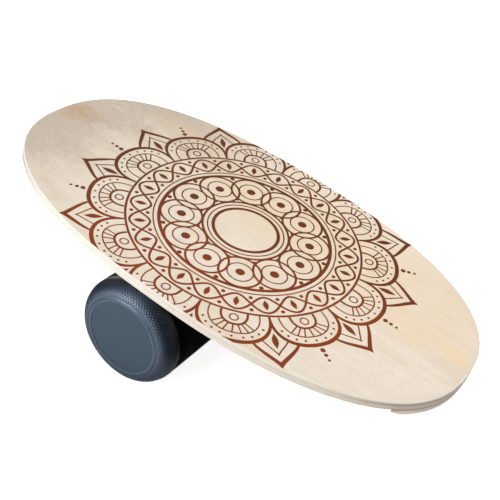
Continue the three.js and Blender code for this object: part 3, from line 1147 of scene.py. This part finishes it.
def make_sleeve():
    """The sleeve between the caps, with a diamond knurl moulded all over it."""
    sides = 2 * round(2 * math.pi * roller_radius / KNURL_PERIOD)
    low, high = sleeve_low.y, sleeve_high.y
    knurled = high - low - 4 * SLEEVE_EDGE
    rows = round(knurled / (KNURL_PERIOD / 2))
    angle = turns(sides)
    spots = np.arange(sides) % 2
    ground = roller_radius - KNURL_HEIGHT
    rings = []
    relief = []

    def ring(radius, y, height=0):
        rings.append(round_ring(radius, y, angle))
        relief.append(np.broadcast_to(height, sides).astype(float))

    ring(SLEEVE_INNER, low)
    ring(roller_radius - SLEEVE_EDGE, low)
    ring(ground, low + SLEEVE_EDGE)
    for i in range(rows + 1):
        # Raised points of the knurl take the pale tone, and its hollows painted shade
        raised = (spots + i) % 2
        radius = roller_radius - KNURL_HEIGHT * (1 - raised)
        ring(radius, low + 2 * SLEEVE_EDGE + knurled * i / rows, raised)
    ring(ground, high - SLEEVE_EDGE)
    ring(roller_radius - SLEEVE_EDGE, high)
    ring(SLEEVE_INNER, high)
    points, faces, _ = loft(rings, closed=True)
    sleeve = mesh_object("sleeve", points, faces, roller_place, [sleeve_rubber], None, SLEEVE_SHARP)
    point_values(sleeve, "relief", np.concatenate(relief))
    settle(sleeve, "roller", "grip", "grip_sleeve")


# What keeps its CAD shape

def finish_cad_nodes():
    """Finishes on the CAD nodes that are shown as they are: they lie inside the roller."""
    finishes = {"core_tube": pipe, "end_plug_near": plug_wood, "end_plug_far": plug_wood}
    for side in end_places:
        for i in SCREW_NUMBERS:
            finishes[f"cap_{side}_screw_{i}"] = steel
    for name, finish in finishes.items():
        mesh = frame["nodes"][name].data
        mesh.materials.clear()
        mesh.materials.append(finish)


# Studio

CAMERA_PLACE = Vector((0.70018, -0.99084, 0.74998))
CAMERA_AIM = Vector((0.03309, -0.03358, 0.14706))
CAMERA_ROLL = math.radians(-3.116)
CAMERA_LENS = 65.44
CAMERA_SENSOR = 36
FLOOR_GLOW = 0.95
FLOOR_HALF = 9.0
FLOOR_GAP = 0.5 * MM
BACKDROP_SIDES = (48, 24)
CARD = ((-0.9, -1.6), (0.05, -1.6), (0.05, 0.4), (-0.35, 0.4))
WORLD_LIGHT = 0.05

# Place, aim, width, height and watts of each light
SOFTBOXES = {
    "top": ((-0.3, 1.0, 3.0), (0, 0, 0.12), 1.5, 1.5, 31),
    "key": ((0.88, 0.4, 1.3), (0.1, 0, 0.1), 0.6, 0.6, 13.6),
    "side": ((-0.8, -2.0, 0.5), (0, -0.1, 0.12), 0.9, 0.9, 28),
    "front": ((-0.2, -1.35, 1.3), (0, -0.1, 0.12), 0.8, 0.8, 6.5),
    "back": ((-1.4, 1.7, 0.5), (0, 0, 0.1), 1.6, 1.2, 10),
}


def facing(place, aim):
    """The turn of a camera or light that stands at a place and looks at its aim."""
    return (Vector(aim) - Vector(place)).to_track_quat("-Z", "Y")


def make_camera():
    """The photograph's view."""
    data = bpy.data.cameras.new("camera")
    data.sensor_width = CAMERA_SENSOR
    data.lens = CAMERA_LENS
    camera = linked("camera", data)
    turn = facing(CAMERA_PLACE, CAMERA_AIM).to_matrix().to_4x4()
    camera.matrix_world = Matrix.Translation(CAMERA_PLACE) @ turn @ Matrix.Rotation(CAMERA_ROLL, 4, "Z")
    bpy.context.scene.camera = camera


def make_softbox(name, place, aim, width, height, watts):
    """One white rectangle of light."""
    data = bpy.data.lights.new(name, "AREA")
    data.shape = "RECTANGLE"
    data.size = width
    data.size_y = height
    data.energy = watts
    light = linked(name, data)
    light.location = place
    light.rotation_euler = facing(place, aim).to_euler()


def staged(name, mesh, finish):
    """A piece of the stage."""
    mesh.materials.append(finish)
    piece = linked(name, mesh)
    return piece


def make_sheet(name, corners, height, finish):
    """A flat stage piece with four corners."""
    mesh = bpy.data.meshes.new(name)
    mesh.from_pydata([(x, y, height) for x, y in corners], [], [(0, 1, 2, 3)])
    return staged(name, mesh, finish)


def make_backdrop(finish):
    """A ball round the whole stage, seen from inside."""
    mesh = bpy.data.meshes.new("backdrop")
    work = bmesh.new()
    sides, levels = BACKDROP_SIDES
    bmesh.ops.create_uvsphere(work, u_segments=sides, v_segments=levels, radius=FLOOR_HALF)
    bmesh.ops.reverse_faces(work, faces=work.faces)
    work.to_mesh(mesh)
    work.free()
    return staged("backdrop", mesh, finish)


def make_studio():
    """The stage and its lights.

    The floor and the backdrop are seen and throw no light. The bounce isn't seen and throws light back
    up. The card shows only in what mirrors it.
    """
    square = corners_of(-FLOOR_HALF, -FLOOR_HALF)
    glowing = studio_floor(FLOOR_GLOW)
    plain = studio_floor(0.0)
    floor = make_sheet("floor", square, 0.0, glowing)
    bounce = make_sheet("bounce", square, -FLOOR_GAP, plain)
    card = make_sheet("card", CARD, -2 * FLOOR_GAP, plain)
    for piece in (floor, make_backdrop(glowing), card):
        piece.visible_diffuse = False
        piece.visible_shadow = False
        piece.visible_glossy = piece is card
        piece.visible_camera = piece is not card
    bounce.visible_camera = False
    bounce.visible_glossy = False
    world = bpy.data.worlds.new("studio")
    world.use_nodes = True
    background = world.node_tree.nodes["Background"]
    background.inputs["Color"].default_value = (1, 1, 1, 1)
    background.inputs["Strength"].default_value = WORLD_LIGHT
    scene = bpy.context.scene
    scene.world = world
    scene.view_settings.view_transform = "Standard"
    for name, settings in SOFTBOXES.items():
        make_softbox(name, *settings)


make_camera()
make_studio()
make_deck()
make_stopper("low")
make_stopper("high")
make_print()
make_caps()
make_discs()
make_sleeve()
finish_cad_nodes()
